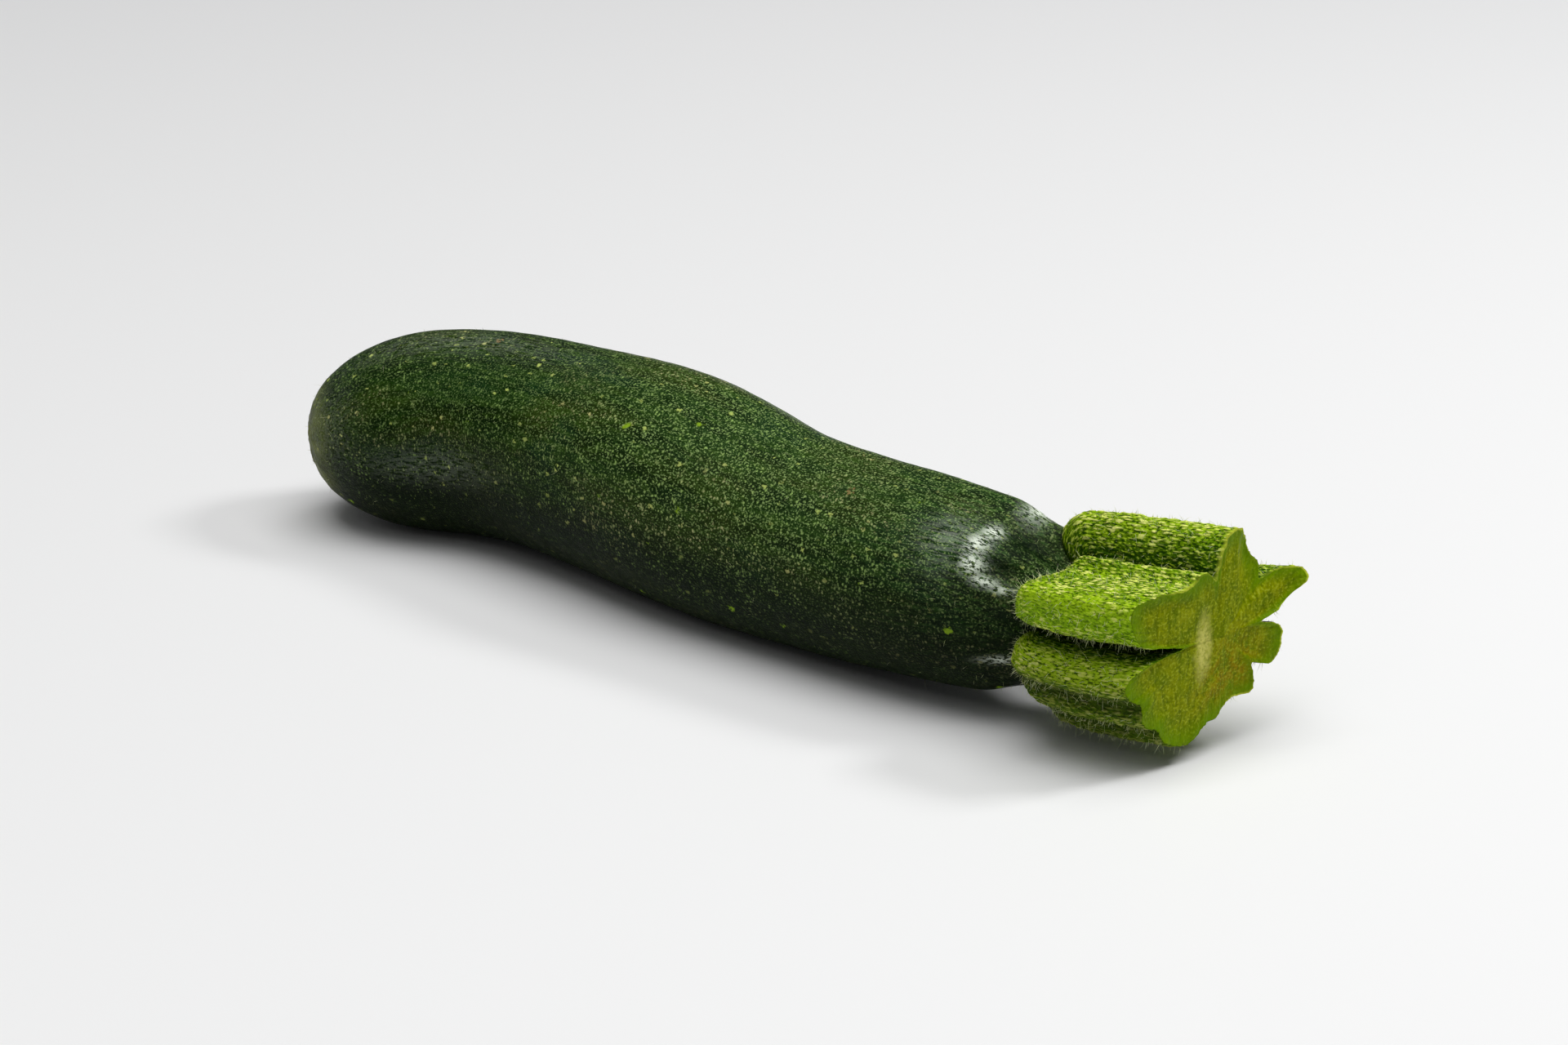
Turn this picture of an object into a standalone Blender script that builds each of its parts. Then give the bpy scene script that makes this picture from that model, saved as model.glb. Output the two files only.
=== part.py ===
"""A courgette as picked, lying on its side: the fruit and the short stem it was cut with.

Metres, +Z up. The blossom end is at -X and the cut stem at +X. Every surface is a loft of rings
round one bent axis. A point on it has a station, its distance along X from the blossom end, and
an angle round the axis, from +Y towards +Z. Sizes are in millimetres until a mesh is made.
"""

import math

import bmesh
import bpy
import numpy as np

MM = 0.001

# The bent axis, as (station, side offset) and (station, height)
AXIS_SIDE = (
    (0, -7.0), (27, 6.5), (55, 7.0), (85, 1.0), (115, -4.5), (145, -8.3), (173, -9.5), (205, -7.0),
)
AXIS_HEIGHT = (
    (0, 16.6), (27, 19.7), (55, 20.6), (80, 20.9), (105, 19.3), (150, 20.6), (177, 21.1), (205, 23.2),
)

# The fruit: its radius without the rounded ends, as (station, radius)
FRUIT_RADIUS = (
    (0, 17.4), (27, 18.9), (56, 20.0), (83, 20.7), (107, 18.9), (135, 17.6), (153, 16.3), (175, 14.8),
)
FRUIT_LENGTH = 174.0
BLOSSOM_CAP, BLOSSOM_BLUNTNESS = 25.0, 2.3
SHOULDER, SHOULDER_BLUNTNESS = 24.0, 2.1
SCAR_DEPTH, SCAR_RADIUS = 1.0, 3.4
RIDGE_HEIGHT = 0.014  # of the radius, in the middle
RIDGE_HEIGHT_AT_ENDS = 0.028
MINOR_RIDGE = 0.30  # of a ridge's height, in the hollows between ridges
RIDGE_TWIST = math.radians(16)
FURROW_DEPTH = 0.22  # of the radius, where the furrows run in under the stem
FURROW_REACH = 36.0
UNEVENNESS = 0.28
FLAT_DEPTH = 0.9  # how far the belly is pressed flat where it rests

# Hollows in the fruit in front of the toes, as (station, angle, half length, half width in
# degrees, depth)
HOLLOWS = (
    (160.5, 137, 4.5, 13, 2.6), (158.5, 66, 4.0, 14, 0.7), (160, 250, 5, 20, 0.9), (160, 340, 5, 14, 1.1),
)

# The stem's grooves, as (angle, half width, radius at the bottom), and the furrows along its lobes,
# as (angle, half width, depth), with the angles and widths in degrees. A ridge has a depth below 0
GROOVES = ((42, 8, 12.6), (100, 8, 12.4), (175.5, 6, 8.4), (313, 9, 10.8), (363, 13, 7.9))
GROOVE_SHARPNESS = 1.7
FURROWS = (
    (24, 12, 2.6), (58, 12, 4.2), (121, 17, 5.4), (150, 8, -2.2), (191, 7, -0.9), (205, 6, 1.5),
    (226, 6, 1.2), (262, 7, 1.8), (285, 20, 6.0), (331, 13, 4.4), (345, 10, 3.0),
)
STEM_START = 168.3  # where the grooves meet the fruit
STEM_LENGTH = 27.0
CREST_RADIUS = ((-5, 17.2), (3, 18.6), (12, 19.2), (34, 18.8))  # (distance from the start, radius)
TOE_REACH = 5.0  # how far a lobe's toe lies back over the fruit
SHORT_TOES = ((118, 22, 4.5), (236, 20, 3.2))  # where a toe ends further on, as furrows
TORN_TIP = (22, 7, 3.0, 203.0, 4.0)  # (angle, half width, how far out, station, half length)
TOE_ROUNDING, GROOVE_ROUNDING = 4.5, 2.0
CUT_TURN = math.radians(-25)  # the knife's slant: round +Z, then up
CUT_RISE = math.radians(-7)
CUT_NICKS = ((60, 26, 3.0), (150, 14, 0.8), (285, 20, 1.0))  # where the edge falls back, as furrows
RIM_STEPS = 12  # how often the search for the cut's edge is repeated
SEAM = 0.3  # the gap between the fruit and the stem that sits on it

# Mesh density
FRUIT_AROUND = 52
STEM_AROUND = 104
CAP_RINGS = 9
BODY_RINGS = 30
SHOULDER_RINGS = 14
STEM_RINGS = 24
UNDERSIDE_RINGS = 5
CUT_RINGS = 3
STEM_SPACING, UNDERSIDE_SPACING = 1.35, 0.8  # over 1 crowds the rings towards the stem's foot

# Colours, with roughness
SKIN = ((0.018, 0.045, 0.014), 0.34)
RIND = ((0.160, 0.290, 0.022), 0.55)


def spline(points, at):
    """The natural cubic spline through (place, value) points, read at an array of places."""
    x, y = np.array(points, float).T
    n = len(x)
    h = np.diff(x)
    matrix = np.eye(n)
    right = np.zeros(n)
    for i in range(1, n - 1):
        matrix[i, i - 1 : i + 2] = h[i - 1], 2 * (h[i - 1] + h[i]), h[i]
        right[i] = 6 * ((y[i + 1] - y[i]) / h[i] - (y[i] - y[i - 1]) / h[i - 1])
    bend = np.linalg.solve(matrix, right)
    at = np.asarray(at, float)
    i = np.clip(np.searchsorted(x, at) - 1, 0, n - 2)
    t = at - x[i]
    slope = (y[i + 1] - y[i]) / h[i] - h[i] * (2 * bend[i] + bend[i + 1]) / 6
    return y[i] + t * slope + t * t * bend[i] / 2 + t**3 * (bend[i + 1] - bend[i]) / (6 * h[i])


def axis_point(station):
    station = np.asarray(station, float)
    return np.stack([station, spline(AXIS_SIDE, station), spline(AXIS_HEIGHT, station)], -1)


def axis_frame(station):
    """The axis's point, its direction, and the two directions square to it: sideways and up."""
    step = 0.5
    ahead = axis_point(np.asarray(station) + step) - axis_point(np.asarray(station) - step)
    along = ahead / np.linalg.norm(ahead, axis=-1, keepdims=True)
    side = np.stack([-along[..., 1], along[..., 0], np.zeros(along.shape[:-1])], -1)
    side /= np.linalg.norm(side, axis=-1, keepdims=True)
    return axis_point(station), along, side, np.cross(along, side)


def surface(station, angle, radius, shift=0.0):
    """Points at a radius from the axis, each moved along it by shift."""
    middle, along, side, up = axis_frame(station)
    shift = np.broadcast_to(shift, np.shape(radius))
    outward = np.cos(angle)[..., None] * side + np.sin(angle)[..., None] * up
    return middle + radius[..., None] * outward + shift[..., None] * along


def on_axis(station, shift=0.0):
    middle, along, _, _ = axis_frame(station)
    return middle + shift * along


def turned(angle, degrees):
    """How far an angle lies from one given in degrees, in degrees and without its sign."""
    return np.abs((np.degrees(angle) - degrees + 180) % 360 - 180)


def bump(angle, place, width):
    """1 at an angle given in degrees, falling to 0 beside it."""
    return np.exp(-((turned(angle, place) / width) ** 2))


def groove_shares(angle):
    """For each groove, 1 at its bottom, falling to 0 on the lobes beside it."""
    return [np.exp(-((turned(angle, place) / width) ** GROOVE_SHARPNESS)) for place, width, _ in GROOVES]


def lobe_height(angle):
    """1 along a lobe and 0 at the bottom of a groove."""
    return 1 - np.clip(np.sum(groove_shares(angle), axis=0), 0, 1)


def place_across(angle):
    """The place across the lobe that an angle lies in, from -1 at one groove to 1 at the next."""
    grooves = np.radians([place for place, _, _ in GROOVES])
    past = (np.asarray(angle, float) - grooves[0]) % (2 * math.pi)
    edges = np.append(grooves - grooves[0], 2 * math.pi)
    lobe = np.clip(np.searchsorted(edges, past, side="right") - 1, 0, len(grooves) - 1)
    return 2 * (past - edges[lobe]) / (edges[lobe + 1] - edges[lobe]) - 1


def smooth_step(x):
    x = np.clip(x, 0, 1)
    return x * x * (3 - 2 * x)


def unevenness(station, angle):
    """Slow swells and hollows, from 1 to -1 or so."""
    return (
        0.45 * np.sin(station / 11 + 1.7 * np.cos(angle) + 0.6)
        + 0.35 * np.sin(station / 17 - 2.0 * np.sin(angle + 0.8) + 2.1)
        + 0.20 * np.sin(station / 6.5 + 2.6 * np.cos(angle - 1.9))
    )


def rounded_end(share, bluntness):
    """1 on the body, falling to 0 at the tip, where share is 0."""
    return (1 - (1 - np.clip(share, 0, 1)) ** bluntness) ** (1 / bluntness)


def fruit_radius(station, angle):
    plain = spline(FRUIT_RADIUS, station)
    twisted = angle - RIDGE_TWIST * (1 - station / FRUIT_LENGTH)
    across = place_across(twisted)
    ridge = np.cos(math.pi * across)  # 1 on a ridge, -1 in the hollow between two
    near_end = np.abs(station / FRUIT_LENGTH - 0.5) * 2
    height = RIDGE_HEIGHT + (RIDGE_HEIGHT_AT_ENDS - RIDGE_HEIGHT) * near_end**3
    plain = plain * (1 + height * (ridge + MINOR_RIDGE * np.cos(2 * math.pi * across)))
    plain = plain + UNEVENNESS * unevenness(station, angle)
    near_stem = smooth_step((station - STEM_START + FURROW_REACH) / FURROW_REACH)
    plain = plain * (1 - FURROW_DEPTH * near_stem**2 * (0.5 - 0.5 * ridge) ** 1.5)
    for middle, place, length, width, depth in HOLLOWS:
        here = np.exp(-(((station - middle) / length) ** 2)) * bump(angle, place, width)
        plain = plain - depth * here
    ends = rounded_end(station / BLOSSOM_CAP, BLOSSOM_BLUNTNESS)
    ends = ends * rounded_end((FRUIT_LENGTH - station) / SHOULDER, SHOULDER_BLUNTNESS)
    return plain * ends


def fruit_point(station, angle):
    """The fruit's skin, with its blossom scar sunk in at the tip."""
    radius = fruit_radius(station, angle)
    dimple = SCAR_DEPTH * np.exp(-((radius / SCAR_RADIUS) ** 2)) * (station < BLOSSOM_CAP)
    return surface(station, angle, radius, dimple)


def stem_radius(station, angle, foot, foot_radius):
    """The stem's radius: lobes and grooves, drawn in to foot_radius at the toes' ends."""
    from_start = station - STEM_START
    crest = spline(CREST_RADIUS, from_start)
    full = crest
    for (_, _, bottom), share in zip(GROOVES, groove_shares(angle)):
        full = full - (crest - bottom) * share
    for furrow, width, depth in FURROWS:
        full = full - depth * bump(angle, furrow, width)
    tip, width, out, middle, length = TORN_TIP
    full = full + out * bump(angle, tip, width) * np.exp(-(((station - middle) / length) ** 2))
    rounding = GROOVE_ROUNDING + (TOE_ROUNDING - GROOVE_ROUNDING) * lobe_height(angle)
    risen = 1 - np.clip((station - foot) / rounding, 0, 1)
    return foot_radius + (full - foot_radius) * np.sqrt(1 - risen**2)


def foot_station(angle):
    """Where the stem's skin meets the fruit's: further back on the crests than in the grooves."""
    foot = STEM_START - TOE_REACH * lobe_height(angle)
    for place, width, short in SHORT_TOES:
        foot = foot + short * bump(angle, place, width)
    return foot


def cut_plane():
    """The knife's plane across the stem, as (point, unit normal)."""
    point, along, _, _ = axis_frame(STEM_START + STEM_LENGTH)
    turn = math.atan2(along[1], along[0]) + CUT_TURN
    rise = math.asin(along[2]) + CUT_RISE
    flat = math.cos(rise)
    return point, np.array([flat * math.cos(turn), flat * math.sin(turn), math.sin(rise)])


def stem_rim(angle):
    """The station at which the stem's surface meets the knife's plane, at each angle."""
    point, normal = cut_plane()
    station = np.full(angle.shape, STEM_START + STEM_LENGTH)
    for _ in range(RIM_STEPS):
        foot = foot_station(angle)
        radius = stem_radius(station, angle, foot, np.zeros_like(angle))
        short = (point - surface(station, angle, radius)) @ normal
        station = station + short
    for place, width, depth in CUT_NICKS:
        station = station - depth * bump(angle, place, width)
    return station


def stem_rings(around):
    """The stem's rings: in under its foot, up its side, and in over the cut."""
    angle = np.arange(around) * 2 * math.pi / around
    foot = foot_station(angle)
    foot_radius = fruit_radius(foot, angle) + SEAM
    rings = []
    for step in range(UNDERSIDE_RINGS, 0, -1):
        share = (step / (UNDERSIDE_RINGS + 0.5)) ** UNDERSIDE_SPACING
        station = foot + (FRUIT_LENGTH - foot) * share
        radius = fruit_radius(station, angle) + SEAM
        rings.append(surface(station, angle, radius, SEAM))
    rim = stem_rim(angle)
    for step in range(STEM_RINGS + 1):
        share = (step / STEM_RINGS) ** STEM_SPACING
        station = foot + (rim - foot) * share
        radius = stem_radius(station, angle, foot, foot_radius)
        rings.append(surface(station, angle, radius))
    middle, _ = cut_plane()
    edge = rings[-1]
    for step in range(1, CUT_RINGS + 1):
        rings.append(edge + (middle - edge) * step / (CUT_RINGS + 1))
    return rings, on_axis(FRUIT_LENGTH, 2 * SEAM), middle


def fruit_rings(around):
    """The fruit's rings from the blossom end to the tip that the stem covers."""
    angle = np.arange(around) * 2 * math.pi / around
    shoulder_start = FRUIT_LENGTH - SHOULDER
    turn = np.arange(1, CAP_RINGS + 1) / CAP_RINGS * math.pi / 2
    stations = list(BLOSSOM_CAP * (1 - np.cos(turn)))
    stations += list(np.linspace(BLOSSOM_CAP, shoulder_start, BODY_RINGS + 1)[1:])
    turn = np.arange(1, SHOULDER_RINGS) / SHOULDER_RINGS * math.pi / 2
    stations += list(shoulder_start + SHOULDER * np.sin(turn))
    rings = [fruit_point(np.full(around, s), angle) for s in stations]
    return rings, on_axis(0.0, SCAR_DEPTH), on_axis(FRUIT_LENGTH)


def loft(name, rings, first, last, colour, roughness):
    """A closed object from rings of points, with a point at each end."""
    shape = bmesh.new()
    loops = [[shape.verts.new(p * MM) for p in ring] for ring in rings]
    ends = [shape.verts.new(first * MM), shape.verts.new(last * MM)]
    around = len(loops[0])
    for i in range(around):
        j = (i + 1) % around
        shape.faces.new((ends[0], loops[0][j], loops[0][i]))
        for low, high in zip(loops, loops[1:]):
            shape.faces.new((low[i], low[j], high[j], high[i]))
        shape.faces.new((loops[-1][i], loops[-1][j], ends[1]))
    bmesh.ops.recalc_face_normals(shape, faces=shape.faces)
    mesh = bpy.data.meshes.new(name)
    shape.to_mesh(mesh)
    shape.free()
    mesh.shade_smooth()
    mesh.materials.append(material(name, colour, roughness))
    made = bpy.data.objects.new(name, mesh)
    bpy.context.scene.collection.objects.link(made)
    return made


def material(name, colour, roughness):
    made = bpy.data.materials.new(name)
    made.use_nodes = True
    shader = made.node_tree.nodes["Principled BSDF"]
    shader.inputs["Base Color"].default_value = (*colour, 1)
    shader.inputs["Roughness"].default_value = roughness
    return made


def press_flat(rings, floor):
    """Points below the floor are lifted onto it."""
    for ring in rings:
        ring[:, 2] = np.maximum(ring[:, 2], floor)


def build():
    for old in list(bpy.data.objects):
        bpy.data.objects.remove(old)
    fruit, blossom, tip = fruit_rings(FRUIT_AROUND)
    stem, top, middle = stem_rings(STEM_AROUND)
    floor = min(ring[:, 2].min() for ring in fruit) + FLAT_DEPTH
    press_flat(fruit, floor)
    everything = np.concatenate(fruit + stem)
    low, high = everything.min(0), everything.max(0)
    origin = np.array([(low[0] + high[0]) / 2, (low[1] + high[1]) / 2, floor])
    loft("fruit", [r - origin for r in fruit], blossom - origin, tip - origin, *SKIN)
    loft("stem", [r - origin for r in stem], top - origin, middle - origin, *RIND)


build()
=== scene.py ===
"""The looks of a courgette: its speckled waxy skin, rough ribbed stem, the knife's cut and the hairs.

The shape is the frame's: rings round one bent axis. A point has a station, its distance along X from
the blossom end, and an angle round the axis, from +Y towards +Z. The rings here are finer, and carry
the relief that can be seen close to. Sizes are in millimetres until a mesh is made.
"""

import math

import bpy
import numpy as np
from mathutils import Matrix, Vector, noise


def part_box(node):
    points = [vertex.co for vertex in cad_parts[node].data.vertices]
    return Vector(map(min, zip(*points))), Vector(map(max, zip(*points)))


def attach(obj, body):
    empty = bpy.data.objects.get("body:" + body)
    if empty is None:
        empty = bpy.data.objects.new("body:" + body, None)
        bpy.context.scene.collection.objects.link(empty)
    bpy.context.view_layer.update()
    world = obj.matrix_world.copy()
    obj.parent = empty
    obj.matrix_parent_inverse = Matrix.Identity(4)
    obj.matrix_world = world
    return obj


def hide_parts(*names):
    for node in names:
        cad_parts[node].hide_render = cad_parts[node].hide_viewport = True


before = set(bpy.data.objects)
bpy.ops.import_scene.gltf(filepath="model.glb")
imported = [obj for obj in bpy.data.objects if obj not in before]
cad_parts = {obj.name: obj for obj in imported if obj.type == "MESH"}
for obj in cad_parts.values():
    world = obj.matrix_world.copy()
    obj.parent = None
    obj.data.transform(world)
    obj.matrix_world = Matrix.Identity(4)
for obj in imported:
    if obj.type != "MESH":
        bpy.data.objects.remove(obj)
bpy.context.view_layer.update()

MM = 0.001

# The bent axis, as (station, side offset) and (station, height)
AXIS_SIDE = (
    (0, -7.0), (27, 6.5), (55, 7.0), (85, 1.0), (115, -4.5), (145, -8.3), (173, -9.5), (205, -7.0),
)
AXIS_HEIGHT = (
    (0, 16.6), (27, 19.7), (55, 20.6), (80, 20.9), (105, 19.3), (150, 20.6), (177, 21.1), (205, 23.2),
)

# The fruit: its radius without the rounded ends, as (station, radius)
FRUIT_RADIUS = (
    (0, 17.4), (27, 18.9), (56, 20.0), (83, 20.7), (107, 18.9), (135, 17.6), (153, 16.3), (175, 14.8),
)
FRUIT_LENGTH = 174.0
BLOSSOM_CAP, BLOSSOM_BLUNTNESS = 25.0, 2.3
SHOULDER, SHOULDER_BLUNTNESS = 24.0, 2.1
SCAR_DEPTH, SCAR_RADIUS = 1.0, 3.4
RIDGE_HEIGHT = 0.014  # of the radius, in the middle
RIDGE_HEIGHT_AT_ENDS = 0.028
MINOR_RIDGE = 0.30  # of a ridge's height, in the hollows between ridges
RIDGE_TWIST = math.radians(16)
FURROW_DEPTH = 0.22  # of the radius, where the furrows run in under the stem
FURROW_REACH = 36.0
UNEVENNESS = 0.28
FLAT_DEPTH = 0.9  # how far the belly is pressed flat where it rests

# Hollows in the fruit in front of the toes, as (station, angle, half length, half width in
# degrees, depth)
HOLLOWS = (
    (160.5, 137, 4.5, 13, 2.6), (158.5, 66, 4.0, 14, 0.7), (160, 250, 5, 20, 0.9),
    (160, 340, 5, 14, 1.1),
)

# The stem's grooves, as (angle, half width, radius at the bottom), and the furrows along its lobes,
# as (angle, half width, depth), with angles and half widths in degrees. A ridge's depth is below 0
GROOVES = ((42, 8, 12.6), (100, 8, 12.4), (175.5, 6, 8.4), (313, 9, 10.8), (363, 13, 7.9))
GROOVE_SHARPNESS = 1.7
FURROWS = (
    (24, 12, 2.6), (58, 12, 4.2), (121, 17, 5.4), (150, 8, -2.2), (191, 7, -0.9), (205, 6, 1.5),
    (226, 6, 1.2), (262, 7, 1.8), (285, 20, 6.0), (331, 13, 4.4), (345, 10, 3.0),
)
STEM_START = 168.3  # where the grooves meet the fruit
STEM_LENGTH = 27.0
CREST_RADIUS = ((-5, 17.2), (3, 18.6), (12, 19.2), (34, 18.8))  # (distance from the start, radius)
TOE_REACH = 5.0  # how far a lobe's toe lies back over the fruit
SHORT_TOES = ((118, 22, 4.5), (236, 20, 3.2))  # where a toe ends further on, as furrows
TORN_TIP = (203.0, 22, 4.0, 7, 3.0)  # (station, angle, half length, half width, how far out)
TOE_ROUNDING, GROOVE_ROUNDING = 4.5, 2.0
CUT_TURN = math.radians(-25)  # the knife's slant: round +Z, then up
CUT_RISE = math.radians(-7)
CUT_NICKS = ((60, 26, 3.0), (150, 14, 0.8), (285, 20, 1.0))  # where the edge falls back, as furrows
RIM_STEPS = 12  # how often the search for the cut's edge is repeated

# Relief of the skin. Lumps are given here and below as (size, height), from the largest down
SKIN_LUMPS = ((13.0, 0.16), (4.2, 0.07), (1.7, 0.018))
WRINKLE_WIDTH, WRINKLE_LENGTH, WRINKLE_HEIGHT = 1.3, 12.0, 0.30
WRINKLE_REACH = 26.0
END_WRINKLE_HEIGHT, END_WRINKLE_REACH = 0.07, 14.0
# The corky blossom scar, with five faint corners
CORK_RADIUS, CORK_WAVE, CORK_CORNERS, CORK_TURN = 4.3, 0.5, 5, 0.4
CORK_EDGE_LUMPS, CORK_LUMPS = ((2.0, 0.5),), ((0.8, 0.10),)
CORK_FADE = 0.5
CORK_RIM, CORK_RIM_WIDTH = 0.28, 0.55
CORK_NUB, CORK_NUB_HEIGHT = 1.0, 0.65
# Painted highlights and painted shade on the skin, most of them on the neck, with faint painted
# reflections along the body: each given as the hollows are, with a strength
PAINTED_HIGHLIGHTS = (
    (154.4, 112, 1.5, 7, 1.1), (153.8, 126, 1.8, 8, 1.0), (154.5, 140, 1.7, 6, 1.1),
    (157.2, 148.5, 2.0, 3.5, 0.9), (160.3, 151, 2.0, 3, 0.7), (157.4, 70, 2.4, 14, 1.0),
    (149, 128, 5.0, 20, 0.16), (153, 44, 2.5, 8, 0.5), (160.2, 208, 3.0, 2.6, 0.6),
    (28, 180, 18, 11, 0.08), (30, 98, 26, 12, 0.08), (4, 150, 5, 60, 0.06),
)
# Painted shade: in the neck's hollows by the toes and in a band along the lower body
PAINTED_SHADES = (
    (158.6, 134, 2.8, 10, 1.1), (160, 106, 5.0, 18, 1.0), (163, 196, 3.0, 6, 0.8),
    (161, 172, 4.0, 8, 0.9), (156.5, 158, 4.0, 5, 0.6), (157, 190, 5.0, 8, 0.5),
    (140, 181, 22, 13, 0.45),
)

# The stem's rind: pale grains in lengthwise rows, on fibres and slow lumps
SINK = 0.15  # how deep the stem's foot sits in the skin
RIND_RISE = 1.2  # how far from the foot the relief reaches its full height
RIND_LUMPS = ((5.0, 0.28), (2.0, 0.12))
FIBRE_WIDTH, FIBRE_LENGTH, FIBRE_HEIGHT = 1.1, 9.0, 0.16
LUMPS_IN_GROOVES = 0.3  # of their height on a lobe
GRAIN_WIDTH, GRAIN_LENGTH, GRAIN_HEIGHT = 0.72, 2.1, 0.22  # a cell's size, and the tallest grain
GRAIN_ROWS = 64
GRAIN_ACROSS, GRAIN_DOWN = (0.25, 0.75), (0.2, 0.8)  # where in its cell a grain's middle may lie
GRAIN_WIDTHS, GRAIN_LENGTHS = (0.22, 0.38), (0.22, 0.52)  # half a grain's, as shares of its cell
GRAIN_TALLNESS = (0.55, 1.0)
GRAIN_TILT = 0.35
GRAINS_MISSING = 0.10
SMOOTH_FLANK = (157, 11)  # the angle of a lobe's side with low grains, and its half width
GRAINS_IN_GROOVES, GRAINS_ON_FLANK = 0.35, 0.35  # of their height on a lobe
BRIGHT_EDGES = ((84, 22), (126, 9), (22, 14), (345, 20), (292, 12))  # (angle, half width)
# Painted light on the lobes' ridges and painted shade in their furrows, as (angle, half width, how
# much lighter)
PAINTED_LIGHT_AND_SHADE = (
    (72, 18, 0.6), (124, 16, 0.2), (150, 7, 0.5), (163, 8, 0.2), (178, 3, -0.9), (187, 6, 1.6),
    (203, 8, -1.1), (214, 6, -0.1), (226, 7, -0.8), (245, 16, -0.5),
)
RIM_RAGGEDNESS = ((2.4, 0.28), (0.7, 0.16))
RIM_TEARS = ((20, 4, 1.4), (10, 2.5, 0.9))  # where the edge stands out past the cut, as furrows
OUTLINE_STEPS = 20  # between two points of a ring, where the stem's outline is measured

# The cut across the stem
CUT_REACH = 17.0  # about how far its edge is from its middle
LIP_HEIGHT, LIP_WIDTH = 0.07, 0.45
LIP_LEAST, LIP_LUMPS = 0.6, ((1.6, 0.8),)  # of the lip's height
TEAR_WIDTH, NICK_WIDTH = 0.9, 5.0
CUT_DISH, CUT_DISH_WIDTH = 0.55, 5.0
CUT_LUMPS, CUT_LUMPS_START = ((4.0, 0.20), (1.3, 0.05)), 1.5
CUT_STREAKS, CUT_STREAK_HEIGHT, CUT_STREAK_START = 36, 0.04, 6.0
CUT_STREAK_CHANGE = 0.12  # how fast a streak changes on its way out
PITH_RADIUS, PITH_HEIGHT = 2.6, 0.25
PITH_OFFSET, PITH_SQUEEZE = (-4.1, 1.0, 0.0), (1.0, 0.28, 1.0)  # of its colour, on the cut
STAIN_PLACE = (-3.0, -8.0, 0.0)

# Hairs, as (how many, shortest and longest, width at the root, how far they lean)
STEM_HAIRS = (2400, (0.5, 1.7), 0.10, 0.38)
FRUIT_HAIRS = (420, (0.5, 1.4), 0.06, 0.7)
HAIR_SHORTNESS = 1.6  # over 1 makes short hairs the usual ones
HAIR_TAPER = 0.6  # of the root's width, halfway up
HAIR_BEND = 0.35
HAIR_ROOT = 0.12  # how far a hair is sunk in, of its length
HAIR_SIDES = 3
HAIR_ASIDE = (0.31, 0.52, 0.79)  # any direction, for the first of its corners
HAIR_CLEARANCE = 0.02  # over the surface that the courgette lies on
# How thick they grow: from the stem's foot and in its grooves, and along the fruit
STEM_HAIRS_RISE, STEM_HAIRS_IN_GROOVES = 0.8, 0.25
NECK_HAIRS_BACK, NECK_HAIRS_SPREAD = 8.0, 12.0
BLOSSOM_HAIRS, BLOSSOM_HAIRS_SPREAD = 0.4, 14.0
BODY_HAIRS = 0.10
FRUIT_HAIRS_END, FRUIT_HAIRS_ABOVE = 6.0, 3.0  # before the stem's start, and over the surface

# Mesh density
FRUIT_AROUND = 224
CAP_RINGS, BODY_RINGS, SHOULDER_RINGS = 70, 240, 100
STEM_AROUND = 640
STEM_RINGS = 114
UNDERSIDE_RINGS = 3
CUT_RINGS = 22
STEM_SPACING, CUT_SPACING = 1.12, 1.7  # over 1 crowds the rings towards the first of them

# The texture map: its strips for the stem's side and for the cut, the margin in a strip, and how
# far a mesh's end point lies past the last ring, both as shares of a strip
SIDE_STRIP, CUT_STRIP = (0.0, 0.56), (0.6, 1.0)
MAP_MARGIN, MAP_END = 0.02, 0.01

# How much the surfaces mirror: little, so that the studio lays no pale veil on the dark skin
SKIN_SHINE, RIND_SHINE, CUT_SHINE = 0.04, 0.05, 0.025
FLOOR_SHINE, FLOOR_ROUGHNESS = 0.3, 0.5

# The camera and the light, in metres. A direction is a turn round +Z and a rise, in degrees
CAMERA_TURN, CAMERA_RISE, CAMERA_DISTANCE = 33, 22, 0.88
CAMERA_AIM = Vector((0.003, 0.0, 0.0195))
CAMERA_CLIP = (0.01, 50.0)
LENS, SENSOR = 113.0, 36.0
SOFTBOXES = (  # (name, turn, rise, distance, (width, height), watts)
    ("overhead", 60, 83, 1.7, (1.7, 1.24), 25.3),
    ("key", 132, 46, 1.0, (0.22, 0.22), 3.2),
    ("front", 12, 50, 1.1, (0.6, 0.5), 0.8),
)
STUDIO = (0.66, 0.67, 0.68)
STUDIO_STRENGTH = 0.12
FLOOR_SIZE = 8.0

SEED = 7  # each noise adds its own number to it


def spline(points, at):
    """The natural cubic spline through (place, value) points, read at an array of places."""
    x, y = np.array(points, float).T
    n = len(x)
    h = np.diff(x)
    matrix = np.eye(n)
    right = np.zeros(n)
    for i in range(1, n - 1):
        matrix[i, i - 1 : i + 2] = h[i - 1], 2 * (h[i - 1] + h[i]), h[i]
        right[i] = 6 * ((y[i + 1] - y[i]) / h[i] - (y[i] - y[i - 1]) / h[i - 1])
    bend = np.linalg.solve(matrix, right)
    at = np.asarray(at, float)
    i = np.clip(np.searchsorted(x, at) - 1, 0, n - 2)
    t = at - x[i]
    slope = (y[i + 1] - y[i]) / h[i] - h[i] * (2 * bend[i] + bend[i + 1]) / 6
    return y[i] + t * slope + t * t * bend[i] / 2 + t**3 * (bend[i + 1] - bend[i]) / (6 * h[i])


def unit(vectors):
    """Vectors brought to a length of 1."""
    return vectors / np.linalg.norm(vectors, axis=-1, keepdims=True)


def axis_point(station):
    return np.stack([station, spline(AXIS_SIDE, station), spline(AXIS_HEIGHT, station)], -1)


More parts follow.
